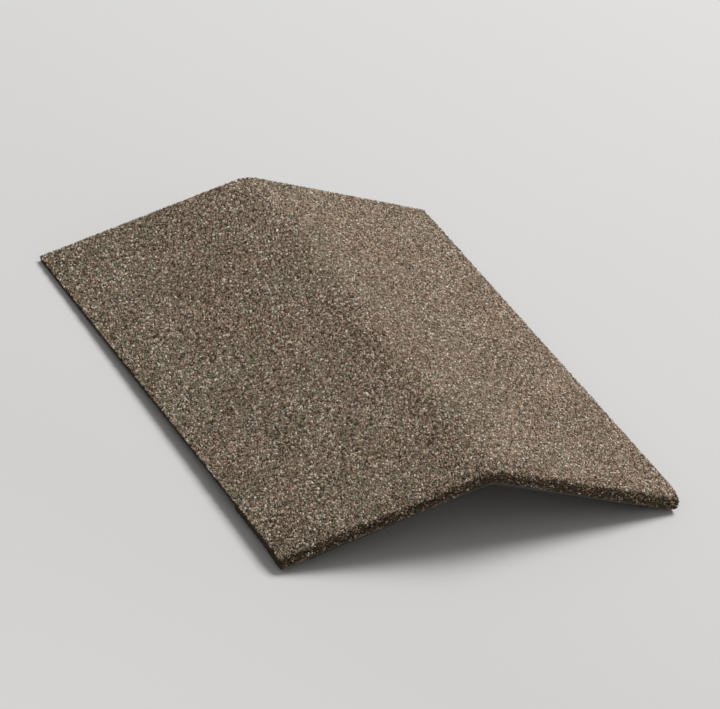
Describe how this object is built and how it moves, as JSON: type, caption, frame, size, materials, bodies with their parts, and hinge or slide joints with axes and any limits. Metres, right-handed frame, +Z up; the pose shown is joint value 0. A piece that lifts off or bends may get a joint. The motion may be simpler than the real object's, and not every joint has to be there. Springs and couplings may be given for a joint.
{
  "type": "hip and ridge cap shingle",
  "caption": "Granulated asphalt cap shingle bent to a shallow V over a roof hip, with a thick folded butt edge and a seal strip under it.",
  "frame": {"origin": "on the floor under the middle of the cap", "axes": "+Y along the cap from the butt edge towards the head, +X across the bend to the right, +Z up; the crown line tips down towards the head by 1.15 degrees, as the cap stands on a level floor"},
  "size_m": [0.2734, 0.3378, 0.0509],
  "materials": {
    "granulated_sheet": "matt mineral granules in tan, taupe, brown and grey green, pressed into asphalt sheet",
    "seal_asphalt": "black self-seal asphalt, slightly glossy"
  },
  "bodies": {
    "root": {"cap_sheet": "granulated_sheet", "seal_strip": "seal_asphalt"}
  },
  "joints": []
}
